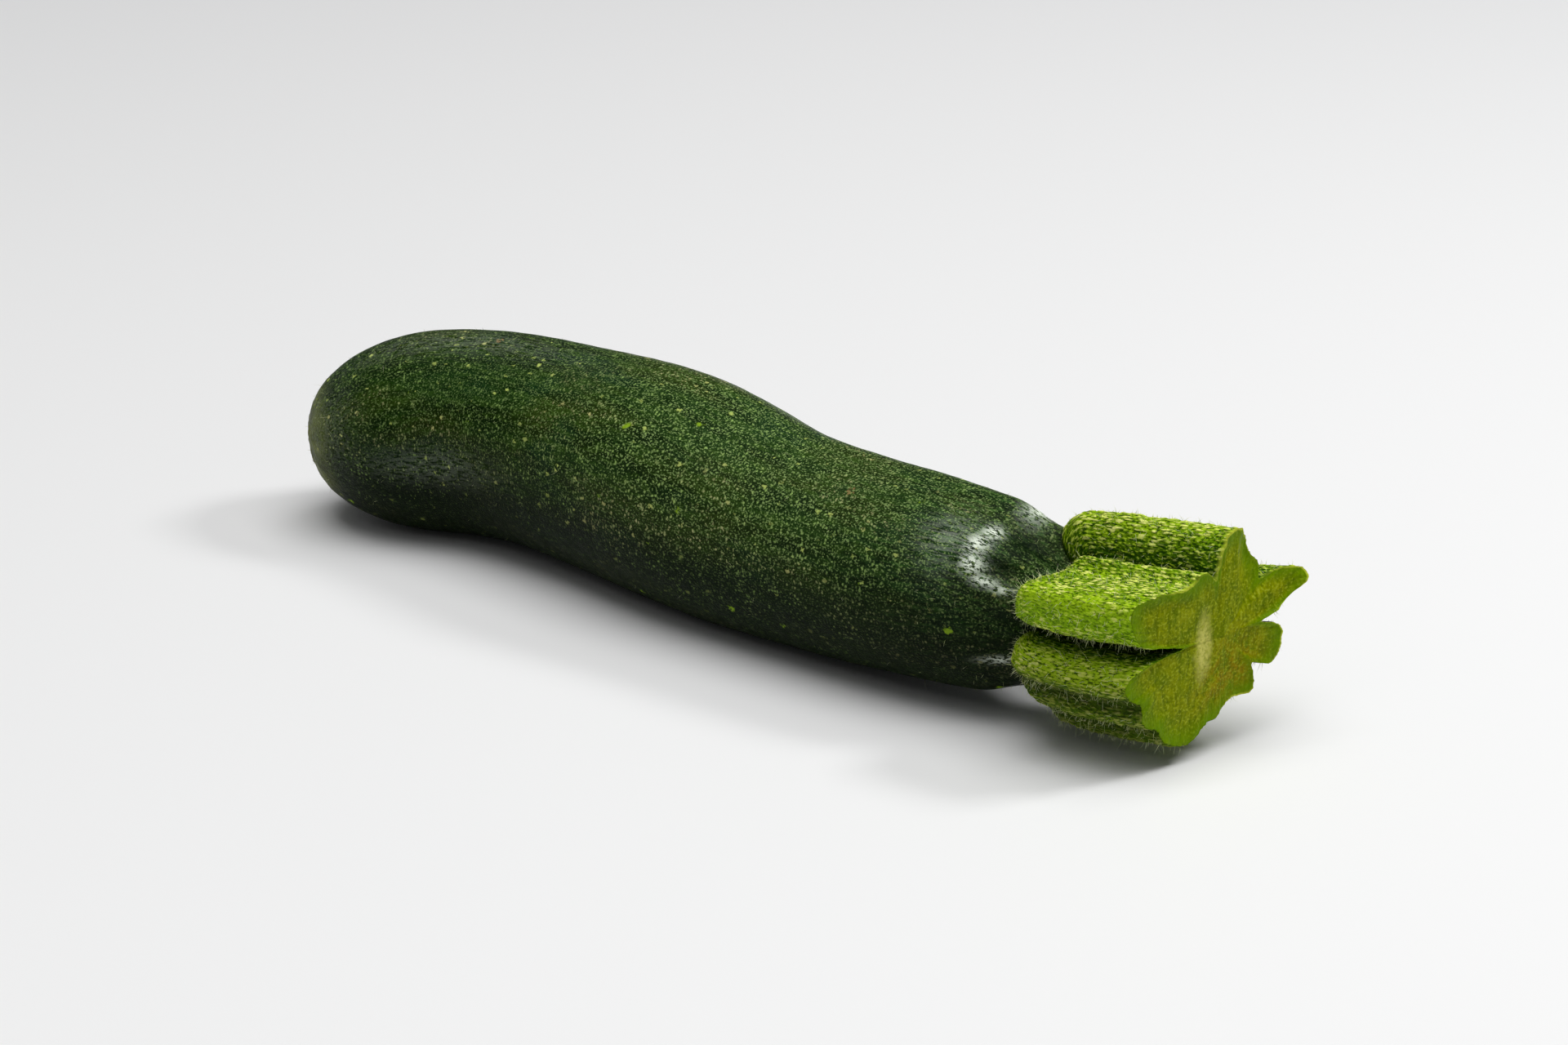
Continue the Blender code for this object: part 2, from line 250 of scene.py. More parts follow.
def axis_frame(station):
    """The axis's point, its direction, and the two directions square to it: sideways and up."""
    step = 0.5
    along = unit(axis_point(station + step) - axis_point(station - step))
    side = unit(np.stack([-along[..., 1], along[..., 0], 0 * along[..., 2]], -1))
    return axis_point(station), along, side, np.cross(along, side)


def surface(station, angle, radius, shift=0.0):
    """Points at a radius from the axis, each moved along it by shift."""
    middle, along, side, up = axis_frame(station)
    shift = np.broadcast_to(shift, np.shape(radius))
    outward = np.cos(angle)[..., None] * side + np.sin(angle)[..., None] * up
    return middle + radius[..., None] * outward + shift[..., None] * along


def on_axis(station, shift=0.0):
    middle, along, _, _ = axis_frame(station)
    return middle + shift * along


def within(limits, share):
    """The value at a share of the way from one limit to the other."""
    return limits[0] + (limits[1] - limits[0]) * share


def smooth_step(x):
    x = np.clip(x, 0, 1)
    return x * x * (3 - 2 * x)


def turned(angle, degrees):
    """How far an angle lies from one given in degrees, in degrees and without its sign."""
    return np.abs((np.degrees(angle) - degrees + 180) % 360 - 180)


def bell(x, power=2):
    """1 where x is 0, and falling to 0 past 1."""
    return np.exp(-(x**power))


def bump(angle, place, width):
    """1 at an angle given in degrees, falling to 0 beside it."""
    return bell(turned(angle, place) / width)


def bumps(angle, rows):
    """The sum of bumps given as (angle, half width, height)."""
    return sum(height * bump(angle, place, width) for place, width, height in rows)


def oval(station, angle, middle, place, length, width):
    """1 at a station and an angle given in degrees, falling to 0 in an oval round them."""
    return bell((station - middle) / length) * bump(angle, place, width)


def groove_shares(angle):
    """For each groove, 1 at its bottom, falling to 0 on the lobes beside it."""
    return [bell(turned(angle, place) / width, GROOVE_SHARPNESS) for place, width, _ in GROOVES]


def lobe_height(angle):
    """1 along a lobe and 0 at the bottom of a groove."""
    return 1 - np.clip(np.sum(groove_shares(angle), axis=0), 0, 1)


def place_across(angle):
    """The place across the lobe that an angle lies in, from -1 at one groove to 1 at the next."""
    grooves = np.radians([place for place, _, _ in GROOVES])
    past = (angle - grooves[0]) % (2 * math.pi)
    edges = np.append(grooves - grooves[0], 2 * math.pi)
    lobe = np.clip(np.searchsorted(edges, past, side="right") - 1, 0, len(grooves) - 1)
    return 2 * (past - edges[lobe]) / (edges[lobe + 1] - edges[lobe]) - 1


def unevenness(station, angle):
    """Slow swells and hollows, from 1 to -1 or so."""
    return (
        0.45 * np.sin(station / 11 + 1.7 * np.cos(angle) + 0.6)
        + 0.35 * np.sin(station / 17 - 2.0 * np.sin(angle + 0.8) + 2.1)
        + 0.20 * np.sin(station / 6.5 + 2.6 * np.cos(angle - 1.9))
    )


def rounded_end(share, bluntness):
    """1 on the body, falling to 0 at the tip, where share is 0."""
    return (1 - (1 - np.clip(share, 0, 1)) ** bluntness) ** (1 / bluntness)


def fruit_radius(station, angle):
    plain = spline(FRUIT_RADIUS, station)
    twisted = angle - RIDGE_TWIST * (1 - station / FRUIT_LENGTH)
    across = place_across(twisted)
    ridge = np.cos(math.pi * across)  # 1 on a ridge, -1 in the hollow between two
    near_end = np.abs(station / FRUIT_LENGTH - 0.5) * 2
    height = within((RIDGE_HEIGHT, RIDGE_HEIGHT_AT_ENDS), near_end**3)
    plain = plain * (1 + height * (ridge + MINOR_RIDGE * np.cos(2 * math.pi * across)))
    plain = plain + UNEVENNESS * unevenness(station, angle)
    near_stem = smooth_step((station - STEM_START + FURROW_REACH) / FURROW_REACH)
    plain = plain * (1 - FURROW_DEPTH * near_stem**2 * (0.5 - 0.5 * ridge) ** 1.5)
    for *where, depth in HOLLOWS:
        plain = plain - depth * oval(station, angle, *where)
    ends = rounded_end(station / BLOSSOM_CAP, BLOSSOM_BLUNTNESS)
    ends = ends * rounded_end((FRUIT_LENGTH - station) / SHOULDER, SHOULDER_BLUNTNESS)
    return plain * ends


def stem_radius(station, angle, foot, foot_radius):
    """The stem's radius: lobes and grooves, drawn in to foot_radius at the toes' ends."""
    crest = spline(CREST_RADIUS, station - STEM_START)
    full = crest
    for (_, _, bottom), share in zip(GROOVES, groove_shares(angle)):
        full = full - (crest - bottom) * share
    full = full - bumps(angle, FURROWS)
    *where, out = TORN_TIP
    full = full + out * oval(station, angle, *where)
    rounding = within((GROOVE_ROUNDING, TOE_ROUNDING), lobe_height(angle))
    risen = 1 - np.clip((station - foot) / rounding, 0, 1)
    return foot_radius + (full - foot_radius) * np.sqrt(1 - risen**2)


def foot_station(angle):
    """Where the stem's skin meets the fruit's: further back on the crests than in the grooves."""
    return STEM_START - TOE_REACH * lobe_height(angle) + bumps(angle, SHORT_TOES)


def cut_plane():
    """The knife's plane across the stem, as (point, unit normal)."""
    point, along, _, _ = axis_frame(STEM_START + STEM_LENGTH)
    turn = math.atan2(along[1], along[0]) + CUT_TURN
    rise = math.asin(along[2]) + CUT_RISE
    flat = math.cos(rise)
    return point, np.array([flat * math.cos(turn), flat * math.sin(turn), math.sin(rise)])


def stem_rim(angle):
    """The station at which the stem's surface meets the knife's plane, at each angle."""
    point, normal = cut_plane()
    foot = foot_station(angle)
    station = np.full(angle.shape, STEM_START + STEM_LENGTH)
    for _ in range(RIM_STEPS):
        radius = stem_radius(station, angle, foot, np.zeros_like(angle))
        station = station + (point - surface(station, angle, radius)) @ normal
    return station - bumps(angle, CUT_NICKS)


def noisy(points, size, seed):
    """Smooth noise from -1 to 1 at an array of points, with lumps of about one size."""
    moved = points / size + seed * np.array([17.3, 5.1, 9.7])
    found = [noise.noise(p) for p in moved.reshape(-1, 3).tolist()]
    return np.reshape(found, points.shape[:-1])


def lumpy(points, layers, seed):
    """Noise in layers, each given as (size, height)."""
    return sum(height * noisy(points, size, seed + i) for i, (size, height) in enumerate(layers))


def unbent(station, angle, radius):
    """Where a point would lie on a straight axis, which the patterns follow."""
    station = np.broadcast_to(station, radius.shape)
    return np.stack([station, radius * np.cos(angle), radius * np.sin(angle)], -1)


def on_tube(along, around, whole):
    """A place along and around a stem whose outline is laid out as a circle of the same length."""
    radius = np.full(np.broadcast(along, around).shape, whole / (2 * math.pi))
    return unbent(along, 2 * math.pi * around / whole, radius)


def raised(points, height):
    """Rings of points moved outwards by the height at each, and the outward directions."""
    round_it = np.roll(points, -1, axis=1) - np.roll(points, 1, axis=1)
    outward = unit(np.cross(round_it, np.gradient(points, axis=0)))
    return points + height[..., None] * outward, outward


def travelled(points):
    """How far each point of a grid of rings lies along the surface from the first ring."""
    steps = np.linalg.norm(np.diff(points, axis=0), axis=-1)
    return np.concatenate([0 * steps[:1], np.cumsum(steps, axis=0)])


def frame_origin(fruit):
    """The point of the shape that the frame's origin is at, from the frame's box round the fruit."""
    low, high = (np.array(corner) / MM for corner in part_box("fruit"))
    origin = (fruit.min((0, 1)) + fruit.max((0, 1))) / 2 - (low + high) / 2
    origin[2] = fruit[..., 2].min() + FLAT_DEPTH
    return origin


def fruit_relief(station, angle, radius):
    """The height of the small relief on the fruit, and how corky it is there."""
    place = unbent(station, angle, radius)
    lengthwise = place * [WRINKLE_WIDTH / WRINKLE_LENGTH, 1, 1]
    wrinkles = noisy(lengthwise, WRINKLE_WIDTH, SEED + 10)
    wrinkles = wrinkles + 0.5 * noisy(lengthwise, WRINKLE_WIDTH / 2, SEED - 4)
    near_stem = smooth_step((station - STEM_START + WRINKLE_REACH) / WRINKLE_REACH)
    near_blossom = smooth_step(1 - station / END_WRINKLE_REACH)
    wrinkle_height = WRINKLE_HEIGHT * near_stem**1.5 + END_WRINKLE_HEIGHT * near_blossom
    height = lumpy(place, SKIN_LUMPS, SEED) + wrinkles * wrinkle_height
    at_blossom = station < BLOSSOM_CAP
    edge = CORK_RADIUS + CORK_WAVE * np.cos(CORK_CORNERS * angle + CORK_TURN)
    edge = edge + lumpy(place, CORK_EDGE_LUMPS, SEED + 12)
    corky = smooth_step((edge - radius) / CORK_FADE + 0.5) * at_blossom
    scar = CORK_RIM * bell((radius - edge) / CORK_RIM_WIDTH)
    scar = scar + CORK_NUB_HEIGHT * bell(radius / CORK_NUB, 4)
    height = height + scar * at_blossom + corky * lumpy(place, CORK_LUMPS, SEED + 13)
    return height, corky


def patches(station, angle, spots):
    """Soft oval patches round the spots given, from 0 to 1 or so."""
    return np.max([strength * oval(station, angle, *where) for *where, strength in spots], axis=0)


def fruit_stations():
    shoulder_start = FRUIT_LENGTH - SHOULDER
    turn = np.arange(1, CAP_RINGS + 1) / CAP_RINGS * math.pi / 2
    cap = BLOSSOM_CAP * (1 - np.cos(turn))
    body = np.linspace(BLOSSOM_CAP, shoulder_start, BODY_RINGS + 1)[1:]
    turn = np.arange(1, SHOULDER_RINGS) / SHOULDER_RINGS * math.pi / 2
    return np.concatenate([cap, body, shoulder_start + SHOULDER * np.sin(turn)])


def make_fruit():
    """The fruit: its fine mesh and the patterns' places on it.

    Gives back its points, with their outward directions and stations, and the frame's origin.
    """
    angle = np.arange(FRUIT_AROUND) * 2 * math.pi / FRUIT_AROUND
    station, angle = np.meshgrid(fruit_stations(), angle, indexing="ij")
    radius = fruit_radius(station, angle)
    dimple = SCAR_DEPTH * bell(radius / SCAR_RADIUS) * (station < BLOSSOM_CAP)
    plain = surface(station, angle, radius, dimple)
    origin = frame_origin(plain)
    height, corky = fruit_relief(station, angle, radius)
    points, outward = raised(plain - origin, height)
    points[..., 2] = np.maximum(points[..., 2], 0)
    first = on_axis(0.0, SCAR_DEPTH - CORK_NUB_HEIGHT) - origin
    made = loft("fruit_skin", points, first, on_axis(FRUIT_LENGTH) - origin)
    give(made, "rest", unbent(station, angle, radius), (0, 0, 0), (FRUIT_LENGTH, 0, 0))
    give(made, "corky", corky, 1, 0)
    # Painted highlights and painted shade, stored for the skin's colour
    give(made, "painted_highlight", patches(station, angle, PAINTED_HIGHLIGHTS), 0, 0)
    give(made, "shade", patches(station, angle, PAINTED_SHADES), 0, 0)
    unroll(made, points, [(0, len(points) - 1, (0.0, 1.0))])
    made.data.materials.append(skin_material())
    dress(made, "skin", "fruit")
    return points, outward, station, origin


def even_angles(around):
    """Angles that lie evenly along the stem's outline, their places along it, and its length."""
    fine = np.linspace(0, 2 * math.pi, OUTLINE_STEPS * around + 1)
    station = np.full(fine.shape, STEM_START + STEM_LENGTH / 2)
    foot = foot_station(fine)
    outline = surface(station, fine, stem_radius(station, fine, foot, fruit_radius(foot, fine)))
    place = travelled(outline[:, None])[:, 0]
    even = np.arange(around) / around * place[-1]
    return np.interp(even, place, fine), even, place[-1]


def grains(along, around, whole):
    """The height of the rind's grains, from 0 to 1: one in most cells of a loose grid."""
    draw = np.random.default_rng(SEED)
    columns = round(whole / GRAIN_WIDTH)
    table = draw.random((GRAIN_ROWS, columns, 6))
    slide = draw.random(columns)
    x = around / whole * columns
    height = np.zeros(np.broadcast(along, around).shape)
    for column_step in (-1, 0, 1):
        column = np.floor(x).astype(int) + column_step
        y = along / GRAIN_LENGTH + slide[column % columns] + GRAIN_ROWS / 2
        for row_step in (-1, 0, 1):
            row = np.floor(y).astype(int) + row_step
            drawn = table[row % GRAIN_ROWS, column % columns]
            aside, lower, lean, width, length, tallness = np.moveaxis(drawn, -1, 0)
            down = y - row - within(GRAIN_DOWN, lower)
            across = x - column - within(GRAIN_ACROSS, aside) + GRAIN_TILT * (lean - 0.5) * down
            across = across / within(GRAIN_WIDTHS, width)
            down = down / within(GRAIN_LENGTHS, length)
            dome = np.sqrt(np.clip(1 - across**2 - down**2, 0, 1))
            present = tallness > GRAINS_MISSING
            height = np.maximum(height, dome * present * within(GRAIN_TALLNESS, tallness))
    return height


def rind_relief(from_foot, angle, foot, around, whole):
    """The height of the stem's relief and of its grains alone, and the places of its patterns."""
    along = foot - STEM_START + from_foot
    place = on_tube(along, around, whole)
    crest = lobe_height(angle)
    grain = grains(along, around, whole) * within((GRAINS_IN_GROOVES, 1), crest)
    grain = grain * within((1, GRAINS_ON_FLANK), bump(angle, *SMOOTH_FLANK))
    lengthwise = place * [FIBRE_WIDTH / FIBRE_LENGTH, 1, 1]
    lumps = lumpy(place, RIND_LUMPS, SEED + 21)
    lumps = lumps + FIBRE_HEIGHT * noisy(lengthwise, FIBRE_WIDTH, SEED + 20)
    height = lumps * within((LUMPS_IN_GROOVES, 1), crest) + GRAIN_HEIGHT * grain
    risen = smooth_step(from_foot / RIND_RISE)
    return height * risen, grain * risen, place


def cut_relief(inward, angle, place):
    """The height of the relief on the knife's cut."""
    away = np.linalg.norm(place, axis=-1)
    edge = unbent(0.0, angle, np.full(angle.shape, CUT_REACH))
    ragged = LIP_LEAST + lumpy(edge, LIP_LUMPS, SEED + 30)
    lip = LIP_HEIGHT * ragged * bell(inward / LIP_WIDTH)
    dish = CUT_DISH * smooth_step(inward / CUT_DISH_WIDTH)
    spokes = unbent(CUT_STREAK_CHANGE * away, angle, np.full(angle.shape, CUT_STREAKS / (2 * math.pi)))
    streaks = CUT_STREAK_HEIGHT * noisy(spokes, 1.0, SEED + 31) * smooth_step(away / CUT_STREAK_START)
    pith = PITH_HEIGHT * bell(away / PITH_RADIUS)
    lumps = lumpy(place, CUT_LUMPS, SEED + 32) * smooth_step(inward / CUT_LUMPS_START)
    return lip - dish + streaks + pith + lumps


def cut_points(rim_points, angle):
    """Rings over the cut from its edge to its middle.

    Gives back their points, their places on the cut, and their distance in from the edge.
    """
    middle, normal = cut_plane()
    share = (np.arange(1, CUT_RINGS + 1)[:, None] / (CUT_RINGS + 1)) ** CUT_SPACING
    inward = share * np.linalg.norm(rim_points - middle, axis=-1)
    proud = (rim_points - middle) @ normal
    width = np.where(proud > 0, TEAR_WIDTH, NICK_WIDTH)
    wanted = proud * bell(inward / width)
    points = rim_points + (middle - rim_points) * share[..., None]
    points = points + (wanted - proud * (1 - share))[..., None] * normal
    across = unit(np.cross(normal, [0.0, 0.0, 1.0]))
    flat = points - middle
    place = np.stack([flat @ across, flat @ np.cross(across, normal), 0 * inward], -1)
    height = cut_relief(inward, np.broadcast_to(angle, inward.shape), place)
    return points + height[..., None] * normal, place, inward


def ragged_rim(angle, around, whole):
    """The cut's edge, with its small teeth and its torn tip."""
    teeth = lumpy(on_tube(0.0, around, whole), RIM_RAGGEDNESS, SEED + 40)
    return stem_rim(angle) + teeth + bumps(angle, RIM_TEARS)


def underside(foot, angle):
    """Rings under the stem's foot, just within the fruit's skin, from its middle to the foot."""
    share = np.arange(UNDERSIDE_RINGS, 0, -1)[:, None] / (UNDERSIDE_RINGS + 0.5)
    station = foot + (FRUIT_LENGTH - foot) * share
    return surface(station, angle + 0 * share, fruit_radius(station, angle) - SINK)


def make_stem(origin):
    """The stem: its underside in the fruit, its grained rind and the cut, in one closed mesh.

    Gives back its side's points, with their outward directions, distances from the foot and crests.
    """
    angle, around, whole = even_angles(STEM_AROUND)
    foot = foot_station(angle)
    under = underside(foot, angle)
    rim = ragged_rim(angle, around, whole)
    share = (np.arange(STEM_RINGS + 1)[:, None] / STEM_RINGS) ** STEM_SPACING
    station = foot + (rim - foot) * share
    angles = np.broadcast_to(angle, station.shape)
    radius = stem_radius(station, angles, foot, fruit_radius(foot, angle) - SINK)
    plain = surface(station, angles, radius)
    from_foot = travelled(plain)
    height, grain, rest = rind_relief(from_foot, angles, foot, around, whole)
    side, outward = raised(plain, height)
    cut, cut_rest, inward = cut_points(side[-1], angle)
    points = np.concatenate([under, side, cut]) - origin
    points[..., 2] = np.maximum(points[..., 2], 0)
    middle, _ = cut_plane()
    made = loft("stem_rind", points, on_axis(FRUIT_LENGTH, -SINK) - origin, middle - origin)
    give(made, "rest", np.concatenate([0 * under, rest, cut_rest]), (0, 0, 0), (0, 0, 0))
    for name, on_side, on_cut, at_middle in (
        ("grain", grain, 0 * inward, 0),
        ("to_rim", rim - station, 0 * inward, 0),
        ("from_foot", from_foot, 0 * inward, 0),
        ("inward", 0 * grain, inward, CUT_REACH),
    ):
        give(made, name, np.concatenate([0 * under[..., 0], on_side, on_cut]), 0, at_middle)
    give_by_angle(made, angle, len(points))
    edge = len(under) + len(side) - 1
    unroll(made, points, [(0, edge, SIDE_STRIP), (edge, len(points) - 1, CUT_STRIP)])
    made.data.materials.append(rind_material())
    made.data.materials.append(cut_material())
    paint_cut(made, edge, len(points))
    dress(made, "stem", "stem")
    return side - origin, outward, from_foot, lobe_height(angles)


def give_by_angle(made, angle, rings):
    """Stores what is the same all along the stem: its lobes, its flank, its painted light and shade,
    and its bright edges.
    """
    bright = np.max([bump(angle, *place) for place in BRIGHT_EDGES], axis=0)
    for name, values, at_middle in (
        ("crest", lobe_height(angle), 1),
        ("flank", bump(angle, *SMOOTH_FLANK), 0),
        ("painted_light_and_shade", bumps(angle, PAINTED_LIGHT_AND_SHADE), 0),
        ("bright", bright, 0),
    ):
        give(made, name, np.broadcast_to(values, (rings, STEM_AROUND)), 0, at_middle)


def paint_cut(made, edge, rings):
    """Gives the faces past one of the rings, the cut's edge, the second material."""
    strips = np.concatenate([np.arange(rings - 1), [0, rings - 1]])  # the two ends come last
    chosen = np.repeat(strips >= edge, STEM_AROUND)
    made.data.polygons.foreach_set("material_index", chosen.astype(int))


def loft(name, points, first, last):
    """A closed object from a grid of rings of points, with a point at each end."""
    rings, around = points.shape[:2]
    vertices = np.concatenate([[first, last], points.reshape(-1, 3)]) * MM
    ring = np.arange(around)
    after = (ring + 1) % around
    faces = []
    for i in range(rings - 1):
        low, high = 2 + i * around, 2 + (i + 1) * around
        faces += np.stack([low + ring, low + after, high + after, high + ring], -1).tolist()
    faces += np.stack([0 * ring, 2 + after, 2 + ring], -1).tolist()
    top = 2 + (rings - 1) * around
    faces += np.stack([top + ring, top + after, 0 * ring + 1], -1).tolist()
    return mesh_object(name, vertices, faces)


def mesh_object(name, vertices, faces):
    mesh = bpy.data.meshes.new(name)
    mesh.from_pydata(vertices.tolist(), [], faces)
    mesh.shade_smooth()
    made = bpy.data.objects.new(name, mesh)
    bpy.context.scene.collection.objects.link(made)
    return made


def store(made, name, values):
    """Stores a value or a vector at each vertex."""
    kind, field = ("FLOAT_VECTOR", "vector") if values.ndim == 2 else ("FLOAT", "value")
    stored = made.data.attributes.new(name, kind, "POINT")
    stored.data.foreach_set(field, values.astype(np.float32).ravel())


def give(made, name, values, first, last):
    """Stores a value or a vector at each point of a lofted mesh, and at its two ends."""
    values = values.reshape(-1, *values.shape[2:])
    store(made, name, np.concatenate([np.array([first, last], float), values]))


def map_height(strip, share):
    """The height on the texture map at a share of the way up a strip, within its margin."""
    return within(strip, within((MAP_MARGIN, 1 - MAP_MARGIN), share))


def map_faces(across, heights):
    """A ring of faces on the texture map, from the places across and the height of their corners."""
    corners = [np.stack([u, np.full(u.shape, v)], -1) for u, v in zip(across, heights)]
    return np.stack(corners, 1).reshape(-1, 2)


def unroll(made, points, stretches):
    """Lays a lofted mesh's texture map out flat, its faces in the order in which loft makes them.

    A stretch of rings is given as (its first ring, its last ring, its strip of the map).
    """
    around = points.shape[1]
    length = travelled(points).mean(1)
    u = np.arange(around) / around
    middle, after = u + 0.5 / around, u + 1 / around
    faces = []
    for first, last, strip in stretches:
        share = (length[first : last + 1] - length[first]) / (length[last] - length[first])
        v = map_height(strip, share)
        for low, high in zip(v, v[1:]):
            faces.append(map_faces((u, after, after, u), (low, low, high, high)))
    end, ring = (map_height(stretches[0][2], share) for share in (-MAP_END, 0))
    faces.append(map_faces((middle, after, u), (end, ring, ring)))
    ring, end = (map_height(stretches[-1][2], share) for share in (1, 1 + MAP_END))
    faces.append(map_faces((u, after, middle), (ring, ring, end)))
    uv = made.data.uv_layers.new(name="OFBake")
    uv.data.foreach_set("uv", np.concatenate(faces).astype(np.float32).ravel())


def hair_places(points, outward, weight, count, draw):
    """Spots for hairs on a grid of rings, drawn with a weight for each of its points."""
    step = np.linalg.norm(np.diff(points, axis=0, append=points[-1:]), axis=-1)
    chance = (weight * step).ravel()
    picked = draw.choice(chance.size, count, replace=False, p=chance / chance.sum())
    return points.reshape(-1, 3)[picked], outward.reshape(-1, 3)[picked]


def hair_faces(count):
    """The faces of hairs with a ring of corners at the root, one halfway up and a tip."""
    tip = 2 * HAIR_SIDES
    pattern = [list(range(HAIR_SIDES))[::-1]]
    for side in range(HAIR_SIDES):
        after = (side + 1) % HAIR_SIDES
        pattern.append([side, after, after + HAIR_SIDES, side + HAIR_SIDES])
        pattern.append([side + HAIR_SIDES, after + HAIR_SIDES, tip])
    return [[corner + i * (tip + 1) for corner in face] for i in range(count) for face in pattern]


def make_hairs(name, slot_name, points, outward, weight, hairs, draw):
    """Bent tapering hairs in one mesh, each from its root along its own direction."""
    count, lengths, width, lean = hairs
    roots, outward = hair_places(points, outward, weight, count, draw)
    length = within(lengths, draw.random(count) ** HAIR_SHORTNESS)
    way = unit(outward + draw.normal(size=(count, 3)) * lean)
    bend = draw.normal(size=(count, 3)) * HAIR_BEND
    bend[:, 2] -= HAIR_BEND / 2
    first = unit(np.cross(way, HAIR_ASIDE))
    second = np.cross(way, first)
    corners = []
    for share, thick in ((-HAIR_ROOT, 1.0), (0.5, HAIR_TAPER)):
        centre = roots + way * (share * length)[:, None]
        centre = centre + bend * (max(share, 0) ** 2 * length)[:, None]
        for side in range(HAIR_SIDES):
            turn = side * 2 * math.pi / HAIR_SIDES
            out = math.cos(turn) * first + math.sin(turn) * second
            corners.append(centre + out * width / 2 * thick)
    corners.append(roots + way * length[:, None] + bend * length[:, None])
    vertices = np.stack(corners, 1)
    vertices[..., 2] = np.maximum(vertices[..., 2], HAIR_CLEARANCE)
    made = mesh_object(name, vertices.reshape(-1, 3) * MM, hair_faces(count))
    store(made, "up", np.tile([0.0] * HAIR_SIDES + [0.5] * HAIR_SIDES + [1.0], count))
    store(made, "tone", np.repeat(draw.random(count), len(corners)))
    made.data.materials.append(hair_material())
    dress(made, slot_name)


def dress(made, slot_name, *nodes):
    """Ties a piece to the frame."""
    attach(made, "root")
    if nodes:
        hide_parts(*nodes)


class Shader:
    """One material's nodes. Each method adds some and gives back the output to use."""

    def __init__(self, name):
        self.material = bpy.data.materials.new(name)
        self.material.use_nodes = True
        self.tree = self.material.node_tree
        self.surface = self.tree.nodes["Principled BSDF"]

    def node(self, kind, inputs, output=0, **settings):
        made = self.tree.nodes.new(kind)
        for name, value in settings.items():
            setattr(made, name, value)
        for name, value in inputs.items():
            self.join(made.inputs[name], value)
        return made.outputs[output]

    def join(self, socket, value):
        if isinstance(value, bpy.types.NodeSocket):
            self.tree.links.new(value, socket)
        else:
            socket.default_value = value

    def finish(self, base, rough, shine=0.5, normal=None):
        given = {"Base Color": base, "Roughness": rough, "Specular IOR Level": shine}
        for name, value in given.items():
            self.join(self.surface.inputs[name], value)
        if normal:
            self.join(self.surface.inputs["Normal"], normal)
        return self.material

    def stored(self, name, output="Fac"):
        return self.node("ShaderNodeAttribute", {}, output, attribute_name=name)

    def rest(self):
        """Where the point would lie on a straight axis, or on the cut's plane."""
        return self.stored("rest", "Vector")

    def part_of(self, place, axis):
        return self.node("ShaderNodeSeparateXYZ", {0: place}, axis)

    def vector_maths(self, operation, a, b, output="Vector"):
        return self.node("ShaderNodeVectorMath", {0: a, 1: b}, output, operation=operation)

    def stretched(self, place, by):
        return self.vector_maths("MULTIPLY", place, by)

    def moved(self, place, by):
        return self.vector_maths("ADD", place, by)

    def distance(self, place, centre=(0.0, 0.0, 0.0)):
        return self.vector_maths("DISTANCE", place, centre, "Value")

    def shaken(self, place, size, amount):
        """A place moved about by noise, so that what is drawn there is less regular."""
        cloud = self.node("ShaderNodeTexNoise", {"Vector": place, "Scale": 1 / size}, "Color")
        away = self.moved(cloud, (-0.5, -0.5, -0.5))
        return self.moved(place, self.stretched(away, (amount, amount, amount)))

    def maths(self, operation, a, b):
        return self.node("ShaderNodeMath", {0: a, 1: b}, operation=operation)

    def larger(self, a, b):
        return self.maths("MAXIMUM", a, b)

    def times(self, value, *others):
        for other in others:
            value = self.maths("MULTIPLY", value, other)
        return value

    def plus(self, value, *others):
        for other in others:
            value = self.maths("ADD", value, other)
        return value

    def noise(self, place, size, detail=2.0, roughness=0.5, along=None):
        """Clouds of a size. A value below 1 for along draws them out along the courgette."""
        if along:
            place = self.stretched(place, (along, 1, 1))
        inputs = {"Vector": place, "Scale": 1 / size, "Detail": detail, "Roughness": roughness}
        return self.node("ShaderNodeTexNoise", inputs)

    def between(self, value, low, high, end=1.0, start=0.0):
        """start where value is low, end where it is high, and smooth in between."""
        inputs = {"Value": value, "From Min": low, "From Max": high, "To Min": start, "To Max": end}
        return self.node("ShaderNodeMapRange", inputs, interpolation_type="SMOOTHSTEP")

    def spots(self, place, size, radius, softness, lost):
        """Round spots of many sizes, up to a radius, from cells of a size. A share of them is lost."""
        cell = self.node("ShaderNodeTexVoronoi", {"Vector": place, "Scale": 1 / size}, "Color")
        drawn = self.node("ShaderNodeSeparateColor", {0: cell}, "Red")
        reach = self.between(drawn, lost, 1.0, radius / size)
        edge = self.maths("SUBTRACT", reach, cell.node.outputs["Distance"])
        return self.between(edge, 0.0, softness * radius / size)

    def mix(self, share, a, b):
        """A mix of two colours, each another node's or given by its sRGB values from 0 to 255."""
        inputs = {0: share, 6: linear(a), 7: linear(b)}
        return self.node("ShaderNodeMix", inputs, 2, data_type="RGBA")

    def painted(self, base, *layers):
        """A colour with others laid over it, each as (how much of it shows, the colour).

        A row may also be (a pattern, its value where the layer starts, its value where the layer
        is full, how much shows there, the colour).
        """
        for *amount, over in layers:
            share = self.between(*amount) if len(amount) > 1 else amount[0]
            base = self.mix(share, base, over)
        return base

    def bumped(self, *patterns):
        """The normal of fine relief: the sum of patterns, each given with its height in mm."""
        height = self.plus(*(self.times(pattern, height) for pattern, height in patterns))
        return self.node("ShaderNodeBump", {"Height": height, "Distance": MM, "Strength": 1.0})


def linear(colour):
    """A colour's sRGB values as linear light. A node's output stays as it is."""
    if isinstance(colour, bpy.types.NodeSocket):
        return colour
    shares = [value / 255 for value in colour]
    return (*(s / 12.92 if s <= 0.04045 else ((s + 0.055) / 1.055) ** 2.4 for s in shares), 1.0)


